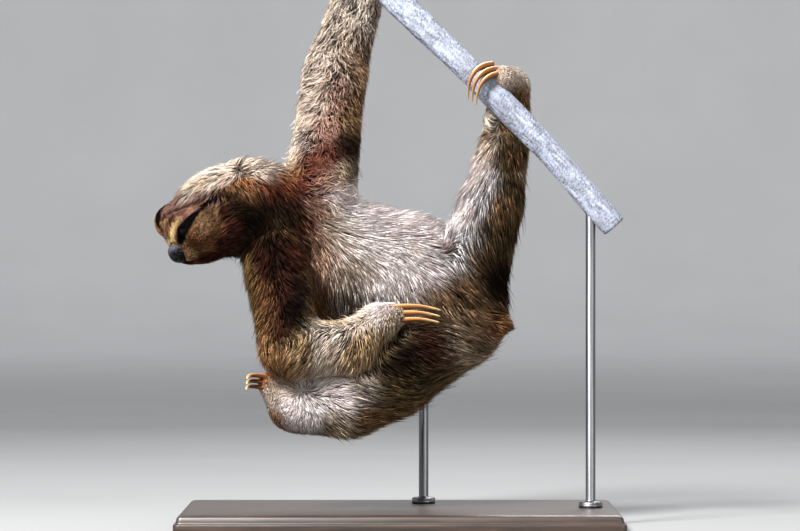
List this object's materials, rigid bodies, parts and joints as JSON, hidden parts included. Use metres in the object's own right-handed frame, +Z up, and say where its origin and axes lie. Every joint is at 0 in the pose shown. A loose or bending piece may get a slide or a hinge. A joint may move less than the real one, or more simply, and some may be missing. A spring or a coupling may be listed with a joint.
{
  "type": "three-toed sloth model",
  "caption": "Life-size still model of a three-toed sloth hanging by a hand and a foot from a cut length of branch, on a flat base with rods.",
  "frame": {"origin": "centre of the base's underside, where the stand rests", "axes": "+Z up; the belly faces -Y; the head points to -X and the rump to +X"},
  "size_m": [0.4689, 0.27, 0.6573],
  "materials": {
    "coat": "long coarse fur, brown with pale tips, dark at the root",
    "claw": "smooth horn, amber with a cream outer edge",
    "eye": "wet dark brown",
    "nose": "damp black skin, finely grained",
    "bark": "rough pale grey bark with darker cracks",
    "base_wood": "dark stained wood, satin",
    "rod_steel": "dark satin steel"
  },
  "bodies": {
    "root": {"right_upper_arm": "coat", "right_forearm": "coat", "right_hand": "coat", "right_thigh": "coat", "right_shin": "coat", "right_foot": "coat", "chest": "coat", "belly": "coat", "rump": "coat", "neck": "coat", "head": "coat", "left_upper_arm": "coat", "left_forearm": "coat", "left_hand": "coat", "left_thigh": "coat", "left_shin": "coat", "left_foot": "coat", "tail": "coat", "left_hand_claw_1": "claw", "left_hand_claw_2": "claw", "left_hand_claw_3": "claw", "right_hand_claw_1": "claw", "right_hand_claw_2": "claw", "right_hand_claw_3": "claw", "left_foot_claw_1": "claw", "left_foot_claw_2": "claw", "left_foot_claw_3": "claw", "right_foot_claw_1": "claw", "right_foot_claw_2": "claw", "right_foot_claw_3": "claw", "left_eye": "eye", "right_eye": "eye", "nose": "nose", "perch": "bark", "stand_base": "base_wood", "stand_rod_body": "rod_steel", "stand_rod_perch": "rod_steel"}
  },
  "joints": []
}
